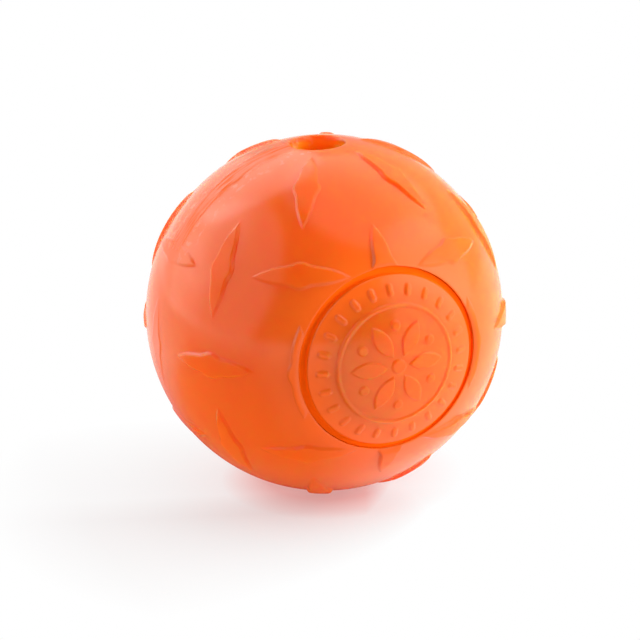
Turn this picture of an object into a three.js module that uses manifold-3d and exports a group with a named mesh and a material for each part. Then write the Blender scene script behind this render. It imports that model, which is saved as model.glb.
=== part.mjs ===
// Hollow dog chew ball with a raised diamond-plate tread, in millimetres, +Z up.
// Two half shells meet on the XZ plane and are held together by bond beads in keyways. A medallion disc is
// bonded into a round pocket in the front half, which faces -Y. The ball stands on the flat land round its
// lower mouth, and the origin is at the middle of that land.
import * as THREE from "three";
import { mergeVertices } from "three/addons/utils/BufferGeometryUtils.js";
import Module from "manifold-3d";

// Ball
const BALL_DIAMETER = 76;
const WALL = 10;

// Mouths at the top and the bottom, each with a rounded rim and a flat land round it
const MOUTH_DIAMETER = 11;
const MOUTH_ROUND = 0.4;
const LAND_WIDTH = 0.5;

// Tread lugs: pointed lenses with a round bulge at mid-length, in rows and columns of equal angle
const LUG_LENGTH = 19.8;
const LUG_WIDTH = 4;
const LUG_BULGE = 0.85;
const LUG_BULGE_LENGTH = 1.9;
const LUG_HEIGHT = 0.8;
const LUG_TIP_RUN = 1.5;
const LUG_SIDE_RUN = 0.55;
const LUG_COLUMNS = 12;
const LUG_ROWS_EACH_WAY = 2;

// Medallion: a disc in a pocket, with a rebate round its edge that shows as a ring groove
const POCKET_DIAMETER = 38.4;
const DISC_THICKNESS = 3.6;
const GROOVE_WIDTH = 1.3;
const GROOVE_DEPTH = 1.1;

// Relief on the medallion: a boss, a round of petals with dots between them, a fine ring and a round of ribs
const RELIEF_HEIGHT = 0.4;
const BOSS_DIAMETER = 3;
const PETAL_COUNT = 6;
const PETAL_LENGTH = 7.6;
const PETAL_WIDTH = 3.4;
const PETAL_START = 2.4;
const DOT_DIAMETER = 2;
const DOT_CENTRE_DIAMETER = 17;
const RING_DIAMETER = 25;
const RING_WIDTH = 0.8;
const RIB_COUNT = 24;
const RIB_LENGTH = 2.6;
const RIB_WIDTH = 1.2;
const RIB_CENTRE_DIAMETER = 30.4;

// Joints between the pieces
const FIT_GAP = 0.3;
const SEAM_BEAD_DIAMETER = 2.4;
const SEAM_BEAD_STANDOFF = 3;
const MEDALLION_BEAD_DIAMETER = 1.8;
const MEDALLION_BEAD_RING_DIAMETER = 24;

// Facets
const BALL_TURN_STEPS = 48;
const OUTER_ARC_STEPS = 20;
const CAVITY_ARC_STEPS = 10;
const RIM_STEPS = 2;
const DISC_TURN_STEPS = 32;
const DOME_STEPS = 3;
const DOT_SIDES = 8;
const BEAD_SIDES = 8;
const BEAD_STEPS = 20;

// Worked out from the sizes above
const ballRadius = BALL_DIAMETER / 2;
const cavityRadius = ballRadius - WALL;
const mouthRadius = MOUTH_DIAMETER / 2;
const landRadius = mouthRadius + MOUTH_ROUND + LAND_WIDTH;
const landHeight = Math.sqrt(ballRadius ** 2 - landRadius ** 2);
const midWallRadius = ballRadius - WALL / 2;
const pocketRadius = POCKET_DIAMETER / 2;
const pocketFloorRadius = ballRadius - DISC_THICKNESS - FIT_GAP;
const cellAngle = (2 * Math.PI) / LUG_COLUMNS;
const reach = 2 * (ballRadius + LUG_HEIGHT);

// Vertices closer than this are one
const MERGE_DISTANCE = 1e-5;

const wasm = await Module();
wasm.setup();

function solidFrom(geometry) {
  const bare = geometry.clone();
  bare.deleteAttribute("normal");
  bare.deleteAttribute("uv");
  const merged = mergeVertices(bare, MERGE_DISTANCE);
  const mesh = new wasm.Mesh({
    numProp: 3,
    vertProperties: Float32Array.from(merged.attributes.position.array),
    triVerts: Uint32Array.from(merged.index.array),
  });
  return new wasm.Manifold(mesh);
}

function geometryFrom(solid) {
  const mesh = solid.getMesh();
  const geometry = new THREE.BufferGeometry();
  geometry.setAttribute("position", new THREE.BufferAttribute(Float32Array.from(mesh.vertProperties), 3));
  geometry.setIndex(new THREE.BufferAttribute(Uint32Array.from(mesh.triVerts), 1));
  geometry.computeVertexNormals();
  return geometry;
}

// Points of a round stretch of a profile, as distance from the axis and height along it
function arc(centreOut, centreUp, radius, from, to, steps) {
  const points = [];
  for (let i = 0; i <= steps; i += 1) {
    const angle = from + ((to - from) * i) / steps;
    points.push(new THREE.Vector2(centreOut + radius * Math.cos(angle), centreUp + radius * Math.sin(angle)));
  }
  return points;
}

// The plain shell: cavity, mouths with rounded rims, and flat lands, turned about the Z axis
function plainShell() {
  const quarter = Math.PI / 2;
  const outerAngle = Math.acos(landRadius / ballRadius);
  const cavityAngle = Math.acos(mouthRadius / cavityRadius);
  const rimOut = mouthRadius + MOUTH_ROUND;
  const rimUp = landHeight - MOUTH_ROUND;
  const profile = [
    ...arc(0, 0, ballRadius, -outerAngle, outerAngle, OUTER_ARC_STEPS),
    ...arc(rimOut, rimUp, MOUTH_ROUND, quarter, 2 * quarter, RIM_STEPS),
    ...arc(0, 0, cavityRadius, cavityAngle, -cavityAngle, CAVITY_ARC_STEPS),
    ...arc(rimOut, -rimUp, MOUTH_ROUND, 2 * quarter, 3 * quarter, RIM_STEPS),
  ];
  profile.push(profile[0].clone());
  return new THREE.LatheGeometry(profile, BALL_TURN_STEPS).rotateX(quarter);
}

// Flat outline of a pointed lens, lengthwise along X, with or without a round bulge at mid-length.
// The shares are the places along the half-length where the outline has a corner.
function lensOutline(length, width, bulge = 0, bulgeLength = length) {
  const shares = [-1, -0.6, -0.27, -0.1, 0.1, 0.27, 0.6, 1];
  const upper = shares.map((share) => {
    const along = (share * length) / 2;
    const half = (width / 2) * (1 - share ** 2) + bulge * Math.exp(-(Math.abs(along / bulgeLength) ** 3));
    return new THREE.Vector2(along, Math.abs(share) === 1 ? 0 : half);
  });
  const lower = upper.slice(1, -1).reverse();
  const mirrored = lower.map((point) => new THREE.Vector2(point.x, -point.y));
  return new THREE.Shape([...upper, ...mirrored].reverse());
}

// A lug that has the given outline on the ball's surface, sunk as deep as it stands proud. Its sides slope:
// at its top it keeps a share of its length and width. It is bent round the ball at the +Z pole, its length
// along X, moved out along X by an arc of the ball.
function bentLug(outline, height, lengthKept, widthKept, arcOut) {
  const geometry = new THREE.ExtrudeGeometry(outline, { depth: 2 * height, bevelEnabled: false });
  const position = geometry.attributes.position;
  for (let i = 0; i < position.count; i += 1) {
    const level = position.getZ(i) - height;
    const rise = level / height;
    const along = (position.getX(i) * (1 - (1 - lengthKept) * rise) + arcOut) / ballRadius;
    const across = (position.getY(i) * (1 - (1 - widthKept) * rise)) / ballRadius;
    const radius = ballRadius + level;
    position.setXYZ(
      i,
      radius * Math.sin(along) * Math.cos(across),
      radius * Math.sin(across),
      radius * Math.cos(along) * Math.cos(across),
    );
  }
  return geometry;
}

// Places on the ball are a latitude and a longitude, which is 0 at the medallion and grows towards +X
function moveToPlace(geometry, latitude, longitude, upright) {
  const outward = new THREE.Vector3(
    Math.cos(latitude) * Math.sin(longitude),
    -Math.cos(latitude) * Math.cos(longitude),
    Math.sin(latitude),
  );
  const east = new THREE.Vector3(Math.cos(longitude), Math.sin(longitude), 0);
  const north = new THREE.Vector3().crossVectors(outward, east);
  const placing = new THREE.Matrix4();
  if (upright) {
    placing.makeBasis(north, east.negate(), outward);
  } else {
    placing.makeBasis(east, north, outward);
  }
  return geometry.clone().applyMatrix4(placing);
}

// Diamond-plate tread: neighbours stand crosswise, and the rows nearest the mouths hold upright lugs alone
function treadLugs() {
  const outline = lensOutline(LUG_LENGTH, LUG_WIDTH, LUG_BULGE, LUG_BULGE_LENGTH);
  const lengthKept = 1 - (2 * LUG_TIP_RUN) / LUG_LENGTH;
  const widthKept = 1 - (2 * LUG_SIDE_RUN) / (LUG_WIDTH + 2 * LUG_BULGE);
  const lug = bentLug(outline, LUG_HEIGHT, lengthKept, widthKept, 0);
  const lugs = [];
  for (let row = -LUG_ROWS_EACH_WAY; row <= LUG_ROWS_EACH_WAY; row += 1) {
    for (let column = 0; column < LUG_COLUMNS; column += 1) {
      const upright = Math.abs(row + column) % 2 === 1;
      const atMedallion = row === 0 && column === 0;
      const crowded = Math.abs(row) === LUG_ROWS_EACH_WAY && !upright;
      if (!atMedallion && !crowded) {
        lugs.push(moveToPlace(lug, row * cellAngle, column * cellAngle, upright));
      }
    }
  }
  return lugs;
}

// Turned pieces of the medallion are drawn about +Y from the ball's centre, then face -Y
function turnedTowardsFront(profile) {
  return new THREE.LatheGeometry(profile, DISC_TURN_STEPS).rotateX(Math.PI);
}

function sphereHeight(radius, out) {
  return Math.sqrt(radius ** 2 - out ** 2);
}

// Arc of a profile along a sphere round the ball's centre, between two distances from the axis
function sphereArc(radius, fromOut, toOut, steps) {
  return arc(0, 0, radius, Math.acos(fromOut / radius), Math.acos(toOut / radius), steps);
}

// The pocket's space: its floor follows the ball, and it is open beyond the lugs
function pocketSpace() {
  const above = ballRadius + 2 * LUG_HEIGHT;
  return turnedTowardsFront([
    ...sphereArc(pocketFloorRadius, 0, pocketRadius, DOME_STEPS),
    new THREE.Vector2(pocketRadius, above),
    new THREE.Vector2(0, above),
  ]);
}

// Disc without relief: a curved plate whose edge is rebated so that a ring groove is left round its top
function plainDisc() {
  const plateRadius = pocketRadius - FIT_GAP;
  const topRadius = pocketRadius - GROOVE_WIDTH;
  const grooveFloor = sphereHeight(ballRadius, pocketRadius) - GROOVE_DEPTH;
  return turnedTowardsFront([
    ...sphereArc(ballRadius - DISC_THICKNESS, 0, plateRadius, DOME_STEPS),
    new THREE.Vector2(plateRadius, grooveFloor),
    new THREE.Vector2(topRadius, grooveFloor),
    ...sphereArc(ballRadius, topRadius, 0, DOME_STEPS),
  ]);
}

// Fine raised ring on the disc, sunk into it as deep as it stands proud
function reliefRing() {
  const inner = (RING_DIAMETER - RING_WIDTH) / 2;
  const outer = (RING_DIAMETER + RING_WIDTH) / 2;
  const low = ballRadius - RELIEF_HEIGHT;
  const high = ballRadius + RELIEF_HEIGHT;
  const profile = [
    new THREE.Vector2(inner, sphereHeight(low, inner)),
    new THREE.Vector2(outer, sphereHeight(low, outer)),
    new THREE.Vector2(outer, sphereHeight(high, outer)),
    new THREE.Vector2(inner, sphereHeight(high, inner)),
  ];
  profile.push(profile[0].clone());
  return turnedTowardsFront(profile);
}

// Copies of a small upright-sided lug in a round about the medallion's axis, the first turned by an angle
function roundOfLugs(count, outline, arcOut, firstAngle = 0) {
  const lug = bentLug(outline, RELIEF_HEIGHT, 1, 1, arcOut);
  const copies = [];
  for (let i = 0; i < count; i += 1) {
    const turned = lug.clone().rotateZ(firstAngle + (i * 2 * Math.PI) / count);
    copies.push(moveToPlace(turned, 0, 0, false));
  }
  return copies;
}

function roundOutline(diameter, sides) {
  return new THREE.Shape(new THREE.EllipseCurve(0, 0, diameter / 2, diameter / 2).getPoints(sides));
}

function ribOutline() {
  const halfLength = RIB_LENGTH / 2;
  const halfWidth = RIB_WIDTH / 2;
  return new THREE.Shape([
    new THREE.Vector2(-halfLength, -halfWidth),
    new THREE.Vector2(halfLength, -halfWidth),
    new THREE.Vector2(halfLength, halfWidth),
    new THREE.Vector2(-halfLength, halfWidth),
  ]);
}

// Arc along the ball from the medallion's middle to a circle of the given diameter round its axis
function arcTo(diameter) {
  return ballRadius * Math.asin(diameter / BALL_DIAMETER);
}

function discRelief() {
  const petal = lensOutline(PETAL_LENGTH, PETAL_WIDTH);
  const dot = roundOutline(DOT_DIAMETER, DOT_SIDES);
  const betweenPetals = Math.PI / PETAL_COUNT;
  return [
    ...roundOfLugs(1, roundOutline(BOSS_DIAMETER, DOT_SIDES), 0),
    ...roundOfLugs(PETAL_COUNT, petal, PETAL_START + PETAL_LENGTH / 2),
    ...roundOfLugs(PETAL_COUNT, dot, arcTo(DOT_CENTRE_DIAMETER), betweenPetals),
    reliefRing(),
    ...roundOfLugs(RIB_COUNT, ribOutline(), arcTo(RIB_CENTRE_DIAMETER)),
  ];
}

// Part of a circle round the ball's centre in the seam plane
class SeamArc extends THREE.Curve {
  constructor(radius, from, to) {
    super();
    this.radius = radius;
    this.from = from;
    this.to = to;
  }

  getPoint(share, target = new THREE.Vector3()) {
    const angle = this.from + (this.to - this.from) * share;
    return target.set(this.radius * Math.cos(angle), 0, this.radius * Math.sin(angle));
  }
}

// Round cord along the middle of the wall in the seam plane, from near one mouth to near the other.
// Side is 1 for +X and -1 for -X.
function seamCord(side, diameter, standoff) {
  const clearAngle = Math.asin((mouthRadius + standoff) / midWallRadius);
  const middle = side > 0 ? 0 : Math.PI;
  const half = Math.PI / 2 - clearAngle;
  return new THREE.ExtrudeGeometry(roundOutline(diameter, BEAD_SIDES), {
    steps: BEAD_STEPS,
    extrudePath: new SeamArc(midWallRadius, middle - half, middle + half),
  });
}

// Ring cord between the back of the disc and the floor of the pocket
function medallionCord(diameter) {
  const ringRadius = MEDALLION_BEAD_RING_DIAMETER / 2;
  const middle = sphereHeight(pocketFloorRadius + FIT_GAP / 2, ringRadius);
  const section = arc(ringRadius, middle, diameter / 2, 0, 2 * Math.PI, BEAD_SIDES);
  return turnedTowardsFront(section);
}

// Block that holds everything on one side of the seam, clear of it by half the fit gap
function halfSpace(side) {
  const block = new THREE.BoxGeometry(reach, reach, reach);
  return block.translate(0, side * (reach + FIT_GAP) / 2, 0);
}

// Slab beyond a land, which trims any lug that would stand past it
function beyondLand(side) {
  const slab = new THREE.BoxGeometry(reach, reach, reach);
  return slab.translate(0, 0, side * (landHeight + reach / 2));
}

function joined(geometries) {
  const [first, ...rest] = geometries.map(solidFrom);
  return rest.reduce((whole, solid) => whole.add(solid), first);
}

function cutBy(solid, geometries) {
  return geometries.reduce((left, geometry) => left.subtract(solidFrom(geometry)), solid);
}

const elastomer = { color: 0xf0601c, roughness: 0.35, metalness: 0 };
const bond = { color: 0xd9521a, roughness: 0.6, metalness: 0 };

const ball = new THREE.Group();
ball.position.z = landHeight;

function addPiece(name, geometry, finish) {
  const piece = new THREE.Mesh(geometry, new THREE.MeshStandardMaterial(finish));
  piece.name = name;
  ball.add(piece);
}

const keywayDiameter = SEAM_BEAD_DIAMETER + 2 * FIT_GAP;
const keywayStandoff = SEAM_BEAD_STANDOFF - FIT_GAP;
const keyways = [1, -1].map((side) => seamCord(side, keywayDiameter, keywayStandoff));
const lands = [1, -1].map((side) => beyondLand(side));
const wholeShell = cutBy(joined([plainShell(), ...treadLugs()]), [...lands, ...keyways]);
const medallionKeyway = medallionCord(MEDALLION_BEAD_DIAMETER + 2 * FIT_GAP);

const frontHalf = wholeShell.intersect(solidFrom(halfSpace(-1)));
addPiece("front_half_shell", geometryFrom(cutBy(frontHalf, [pocketSpace(), medallionKeyway])), elastomer);

const rearHalf = wholeShell.intersect(solidFrom(halfSpace(1)));
addPiece("rear_half_shell", geometryFrom(rearHalf), elastomer);

const disc = cutBy(joined([plainDisc(), ...discRelief()]), [medallionKeyway]);
addPiece("medallion_disc", geometryFrom(disc), elastomer);

addPiece("seam_bead_left", seamCord(-1, SEAM_BEAD_DIAMETER, SEAM_BEAD_STANDOFF), bond);
addPiece("seam_bead_right", seamCord(1, SEAM_BEAD_DIAMETER, SEAM_BEAD_STANDOFF), bond);
addPiece("medallion_bead", medallionCord(MEDALLION_BEAD_DIAMETER), bond);

const chewBall = new THREE.Group();
chewBall.add(ball);

export default chewBall;
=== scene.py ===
# Dog chew ball with a raised diamond-plate tread, dressed around its CAD frame. Lengths are in metres.
import math

import bmesh
import bpy
import numpy as np
from mathutils import Matrix, Vector
from mathutils.geometry import delaunay_2d_cdt
from mathutils.kdtree import KDTree


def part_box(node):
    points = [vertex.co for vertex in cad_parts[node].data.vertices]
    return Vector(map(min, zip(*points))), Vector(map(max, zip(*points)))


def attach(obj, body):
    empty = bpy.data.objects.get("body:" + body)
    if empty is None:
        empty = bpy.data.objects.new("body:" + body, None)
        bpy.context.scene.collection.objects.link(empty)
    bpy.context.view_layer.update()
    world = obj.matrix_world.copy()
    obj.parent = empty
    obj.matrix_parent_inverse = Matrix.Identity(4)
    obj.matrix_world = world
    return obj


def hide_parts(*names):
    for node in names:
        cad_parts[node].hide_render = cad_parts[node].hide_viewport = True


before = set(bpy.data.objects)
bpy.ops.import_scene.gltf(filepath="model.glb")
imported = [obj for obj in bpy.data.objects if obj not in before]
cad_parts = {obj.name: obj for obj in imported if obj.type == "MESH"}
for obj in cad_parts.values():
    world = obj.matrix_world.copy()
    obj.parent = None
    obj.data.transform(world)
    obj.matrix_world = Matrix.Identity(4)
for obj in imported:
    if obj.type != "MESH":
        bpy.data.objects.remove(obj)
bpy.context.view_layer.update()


# Half shells
# Two hollow halves of soft thermoplastic elastomer, injection moulded with the raised tread on their skin.
# They meet on the XZ plane. A bead of bond in a keyway holds them, and the flash squeezed out is trimmed.
MM = 0.001
shell_low, shell_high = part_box("front_half_shell")
ball_middle = Vector((0, 0, (shell_low.z + shell_high.z) / 2))
land_height = (shell_high.z - shell_low.z) / 2
BALL_RADIUS = 38 * MM
CAVITY_RADIUS = 28 * MM
WALL_MIDDLE = (BALL_RADIUS + CAVITY_RADIUS) / 2
MOUTH_RADIUS = 5.5 * MM
MOUTH_ROUND = 0.6 * MM
MOUTH_RIM = MOUTH_RADIUS + MOUTH_ROUND
MOUTH_LIP_DEPTH = 2 * MM
LAND_BLEND = 0.06 * MM
SEAM_GAP = 0.01 * MM
KEYWAY_RADIUS = 1.5 * MM
KEYWAY_STANDOFF = 2.7 * MM

# Tread: pointed lenses with a round bulge at mid-length, one to a cell, neighbours crosswise
CELL_ANGLE = math.radians(30)
LUG_COLUMNS = 12
LUG_ROWS_EACH_WAY = 2
LUG_LENGTH = 19.8 * MM
LUG_WIDTH = 3.9 * MM
LUG_FULLNESS = 2.6
LUG_BULGE = 0.7 * MM
LUG_BULGE_LENGTH = 1.7 * MM
LUG_BULGE_SHARPNESS = 3
LUG_HEIGHT = 0.72 * MM
LUG_TIP_HEIGHT = 0.3 * MM
LUG_FOOT = 0.32 * MM
LUG_SHOULDER = 0.44 * MM
WORN_SHARE = 0.15
WEAR_REACH = 11 * MM
LUG_LIP_REACH = 1 * MM

# Pocket for the medallion, in the front half
POCKET_RADIUS = 19.2 * MM
POCKET_FLOOR_RADIUS = 34.1 * MM
POCKET_LIP = 0.45 * MM
SKIN_DEPTH = POCKET_LIP + 0.05 * MM
BEAD_RING_RADIUS = 12 * MM
BEAD_KEYWAY_RADIUS = 1.2 * MM
BEAD_STANDOFF = 0.15 * MM

# Mesh steps: how far apart the points lie, how near to others they may come, and counts along round stretches
SKIN_STEP = 0.4 * MM
SKIN_POINTS = 12000
GOLDEN_ANGLE = math.pi * (3 - math.sqrt(5))
SKIN_CLEARANCE = 0.5 * MM
LUG_CLEARANCE = 0.1 * MM
RING_CLEARANCE = 0.04 * MM
WELD_DISTANCE = 1e-4 * MM
FLAT_TOLERANCE = 1e-9
CREASE_ANGLE = math.radians(50)
MOUTH_STEPS = 80
POCKET_STEPS = 320
LIP_STEPS = 8
CAVITY_STEPS = 28
KEYWAY_STEPS = 60
KEYWAY_ROUND_STEPS = 8
RING_KEYWAY_STEPS = 12
EDGE_TO_KEYWAY_STEPS = 8
KEYWAY_TO_AXIS_STEPS = 12
LUG_EDGE_STEPS = np.array([-1.0, -0.7, -0.5, -0.38, -0.27, -0.16, -0.05, 0.06, 0.17, 0.28, 0.42, 0.7]) * MM
SEAM_ROWS = np.array([0.06, 0.14, 0.25, 0.4, 0.6, 0.85]) * MM
MOUTH_RINGS = np.array([0.15, 0.3, 0.42, 0.5, 0.58, 0.7, 0.9, 1.2, 1.6, 2.1, 2.7, 3.4]) * MM
POCKET_RINGS = np.array([0.05, 0.11, 0.19, 0.29, 0.4, 0.55, 0.8, 1.1]) * MM
half_turn = np.linspace(-math.pi / 2, math.pi / 2, MOUTH_STEPS + 1)


def linear_colour(hex_colour):
    """Linear RGBA of an sRGB hex colour."""
    levels = [int(hex_colour[i:i + 2], 16) / 255 for i in (1, 3, 5)]
    return [((level + 0.055) / 1.055) ** 2.4 if level > 0.04045 else level / 12.92 for level in levels] + [1]


def add_node(tree, kind, inputs=None, **settings):
    """A new node with its settings, and its inputs linked to nodes or sockets, or set to plain values."""
    node = tree.nodes.new(kind)
    for name, value in settings.items():
        setattr(node, name, value)
    for name, value in (inputs or {}).items():
        if isinstance(value, bpy.types.Node):
            value = value.outputs[0]
        if isinstance(value, bpy.types.NodeSocket):
            tree.links.new(value, node.inputs[name])
        else:
            node.inputs[name].default_value = value
    return node


def new_material(name):
    """An empty material."""
    material = bpy.data.materials.new(name)
    material.use_nodes = True
    material.node_tree.nodes.clear()
    return material


def place_on_ball(tree, place, middle):
    """A point's offset and direction from the middle, and its distances from left seam and front axis."""
    from_middle = add_node(tree, "ShaderNodeVectorMath", {0: place, 1: middle}, operation="SUBTRACT")
    outward = add_node(tree, "ShaderNodeVectorMath", {0: from_middle}, operation="NORMALIZE")
    parts = add_node(tree, "ShaderNodeSeparateXYZ", {0: from_middle}).outputs
    off_joint = add_node(tree, "ShaderNodeMath", {0: parts["Y"]}, operation="ABSOLUTE")
    rightwards = add_node(tree, "ShaderNodeMath", {0: parts["X"], 1: 0.0}, operation="MAXIMUM")
    off_left_seam = add_node(tree, "ShaderNodeMath", {0: off_joint, 1: rightwards}, operation="ADD")
    front_place = add_node(tree, "ShaderNodeCombineXYZ", {0: parts["X"], 1: parts["Z"]})
    off_front = add_node(tree, "ShaderNodeVectorMath", {0: front_place}, operation="LENGTH").outputs["Value"]
    return from_middle, outward, parts, off_left_seam, off_front


# Finish: colours, sizes of patterns, and where the skin changes, from a first to a last height or distance
PIGMENT_COLOURS = ("#f65e0c", "#f7620f")
# Painted light: the groove a little lighter than the pigment, the mouths' bores much lighter and yellower
RECESS_PAINTED_LIGHT_COLOURS = ("#fc660a", "#ff8a14")
SCUFF_COLOUR = "#f9b49b"
CLOUD_SIZE = 14 * MM
WAVE_SIZE = 9 * MM
SPECK_SIZE = 1.8 * MM
SPECK_PEAKS = (0.55, 0.7)
STREAK_LENGTH = 9 * MM
STREAK_WIDTH = 0.9 * MM
STREAK_PEAKS = (0.5, 0.6)
SCRAPED_BAND = (4.2 * MM, 1.5 * MM)
SCUFFED_BAND = (8 * MM, 4.5 * MM)
SCRAPED_HEIGHT = (15 * MM, 24 * MM)
LUG_TOP = (0.3 * MM, 0.55 * MM)
MOUTH_INSIDE = (MOUTH_RIM + 0.5 * MM, MOUTH_RIM + 0.2 * MM)
SUNK_START = -0.15 * MM
GROOVE_SUNK = -0.6 * MM
MOUTH_SUNK = -2.5 * MM
JOINT_EDGE = (1 * MM, 9 * MM)
MOUTH_JOINT_EDGE = (0.2 * MM, 2 * MM)
GROOVE_EDGE = (1.5 * MM, 7 * MM)
SCUFF_SHARE = 0.35
LUG_TOP_DULLING = 0.36
SCRATCH_DULLING = 0.7
SMOOTH_ROUGHNESS = 0.18
SCRAPED_ROUGHENING = 0.35
EVENED_SHARE = 0.7


# Moulded styrenic elastomer: a soft, oily-smooth skin with broad gloss, cloudy pigment and light bleeding red
# through it. Lug tops are duller. Grooves and mouths have no gloss, which is painted shade for the
# reflections that their depth hides, and a lighter colour, which is painted light, most in the mouths.
# Scraped flash left matt streaks along the seam, with pale scuffs beside them.
def moulded_elastomer():
    material = new_material("moulded_elastomer")
    tree = material.node_tree
    place = add_node(tree, "ShaderNodeTexCoord").outputs["Object"]
    from_middle, outward, parts, off_left_seam, off_front = place_on_ball(tree, place, ball_middle)
    reach = add_node(tree, "ShaderNodeVectorMath", {0: from_middle}, operation="LENGTH").outputs["Value"]
    above = add_node(tree, "ShaderNodeMath", {0: reach, 1: BALL_RADIUS}, operation="SUBTRACT")
    level_place = add_node(tree, "ShaderNodeCombineXYZ", {0: parts["X"], 1: parts["Y"]})
    off_axis = add_node(tree, "ShaderNodeVectorMath", {0: level_place}, operation="LENGTH").outputs["Value"]
    off_joint = add_node(tree, "ShaderNodeMath", {0: parts["Y"]}, operation="ABSOLUTE")
    from_groove = add_node(tree, "ShaderNodeMath", {0: off_front, 1: POCKET_RADIUS}, operation="SUBTRACT")
    off_groove = add_node(tree, "ShaderNodeMath", {0: from_groove}, operation="ABSOLUTE")

    round_seam = add_node(tree, "ShaderNodeMath", {0: parts["X"], 1: parts["Z"]}, operation="ARCTAN2")
    along_seam = add_node(
        tree, "ShaderNodeMath", {0: round_seam, 1: BALL_RADIUS / STREAK_LENGTH}, operation="MULTIPLY",
    )
    across_seam = add_node(tree, "ShaderNodeMath", {0: parts["Y"], 1: 1 / STREAK_WIDTH}, operation="MULTIPLY")
    streak_place = add_node(tree, "ShaderNodeCombineXYZ", {0: along_seam, 1: across_seam})
    streaks = add_node(tree, "ShaderNodeTexNoise", {"Vector": streak_place, "Scale": 1.0, "Detail": 2})
    specks, clouds, waves = [
        add_node(tree, "ShaderNodeTexNoise", {"Vector": place, "Scale": 1 / size, "Detail": detail})
        for size, detail in ((SPECK_SIZE, 2), (CLOUD_SIZE, 3), (WAVE_SIZE, 1))
    ]

    on_top, in_mouth, past_joint, past_mouth_joint, past_groove, speck_peaks, streak_peaks = [
        add_node(tree, "ShaderNodeMapRange", {"Value": value, "From Min": first, "From Max": last})
        for value, (first, last) in (
            (above, LUG_TOP), (off_axis, MOUTH_INSIDE), (off_joint, JOINT_EDGE),
            (off_joint, MOUTH_JOINT_EDGE), (off_groove, GROOVE_EDGE),
            (specks, SPECK_PEAKS), (streaks, STREAK_PEAKS),
        )
    ]
    near_seam, round_about, near_top = [
        add_node(
            tree, "ShaderNodeMapRange", {"Value": value, "From Min": first, "From Max": last},
            interpolation_type="SMOOTHSTEP",
        )
        for value, (first, last) in (
            (off_left_seam, SCRAPED_BAND), (off_left_seam, SCUFFED_BAND), (parts["Z"], SCRAPED_HEIGHT),
        )
    ]
    full_depth = add_node(
        tree, "ShaderNodeMapRange", {"Value": in_mouth, "To Min": GROOVE_SUNK, "To Max": MOUTH_SUNK},
    )
    sunk = add_node(
        tree, "ShaderNodeMapRange", {"Value": above, "From Min": SUNK_START, "From Max": full_depth},
    )
    lit_share = add_node(tree, "ShaderNodeMath", {0: 1.0, 1: sunk}, operation="SUBTRACT")
    scraped = add_node(tree, "ShaderNodeMath", {0: near_seam, 1: near_top}, operation="MULTIPLY")
    scraped_streaks = add_node(tree, "ShaderNodeMath", {0: scraped, 1: streaks}, operation="MULTIPLY")
    scratches = add_node(tree, "ShaderNodeMath", {0: scraped, 1: streak_peaks}, operation="MULTIPLY")

    # Painted light: sunk skin takes a lighter colour, a little in the groove and most in the mouths' bores
    pigment, recess_painted_light = [
        add_node(
            tree, "ShaderNodeMix",
            {"Factor": factor, 6: linear_colour(low), 7: linear_colour(high)}, data_type="RGBA",
        )
        for factor, (low, high) in ((clouds, PIGMENT_COLOURS), (in_mouth, RECESS_PAINTED_LIGHT_COLOURS))
    ]
    pigment_and_recess_painted_light = add_node(
        tree, "ShaderNodeMix", {"Factor": sunk, 6: pigment.outputs[2], 7: recess_painted_light.outputs[2]}, data_type="RGBA",
    )
    beside = add_node(
        tree, "ShaderNodeMath", {0: round_about, 1: near_seam}, operation="SUBTRACT", use_clamp=True,
    )
    pale = speck_peaks
    for factor in (beside, near_top, SCUFF_SHARE):
        pale = add_node(tree, "ShaderNodeMath", {0: pale, 1: factor}, operation="MULTIPLY")
    colour = add_node(
        tree, "ShaderNodeMix",
        {"Factor": pale, 6: pigment_and_recess_painted_light.outputs[2], 7: linear_colour(SCUFF_COLOUR)}, data_type="RGBA",
    )

    # Painted shade: no gloss in the recesses, where their depth would hide reflections
    shine = lit_share
    for dull, dulling in ((on_top, LUG_TOP_DULLING), (scratches, SCRATCH_DULLING)):
        kept = add_node(tree, "ShaderNodeMath", {0: dull, 1: -dulling, 2: 1.0}, operation="MULTIPLY_ADD")
        shine = add_node(tree, "ShaderNodeMath", {0: shine, 1: kept}, operation="MULTIPLY")
    gloss = add_node(
        tree, "ShaderNodeMath",
        {0: scraped_streaks, 1: SCRAPED_ROUGHENING, 2: SMOOTH_ROUGHNESS}, operation="MULTIPLY_ADD",
    )
    wavy = add_node(tree, "ShaderNodeBump", {"Height": waves, "Strength": 0.4, "Distance": 0.12 * MM})
    rough_seam = add_node(
        tree, "ShaderNodeBump",
        {"Height": scraped_streaks, "Strength": 1.0, "Distance": 0.25 * MM, "Normal": wavy},
    )
    # Light scattered inside evens out the shading of the lugs
    evened = add_node(tree, "ShaderNodeMath", {0: lit_share, 1: EVENED_SHARE}, operation="MULTIPLY")
    own_normal = add_node(tree, "ShaderNodeNewGeometry").outputs["Normal"]
    mixed_normal = add_node(
        tree, "ShaderNodeMix", {"Factor": evened, 4: own_normal, 5: outward}, data_type="VECTOR",
    )
    even_normal = add_node(tree, "ShaderNodeVectorMath", {0: mixed_normal.outputs[1]}, operation="NORMALIZE")

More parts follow.
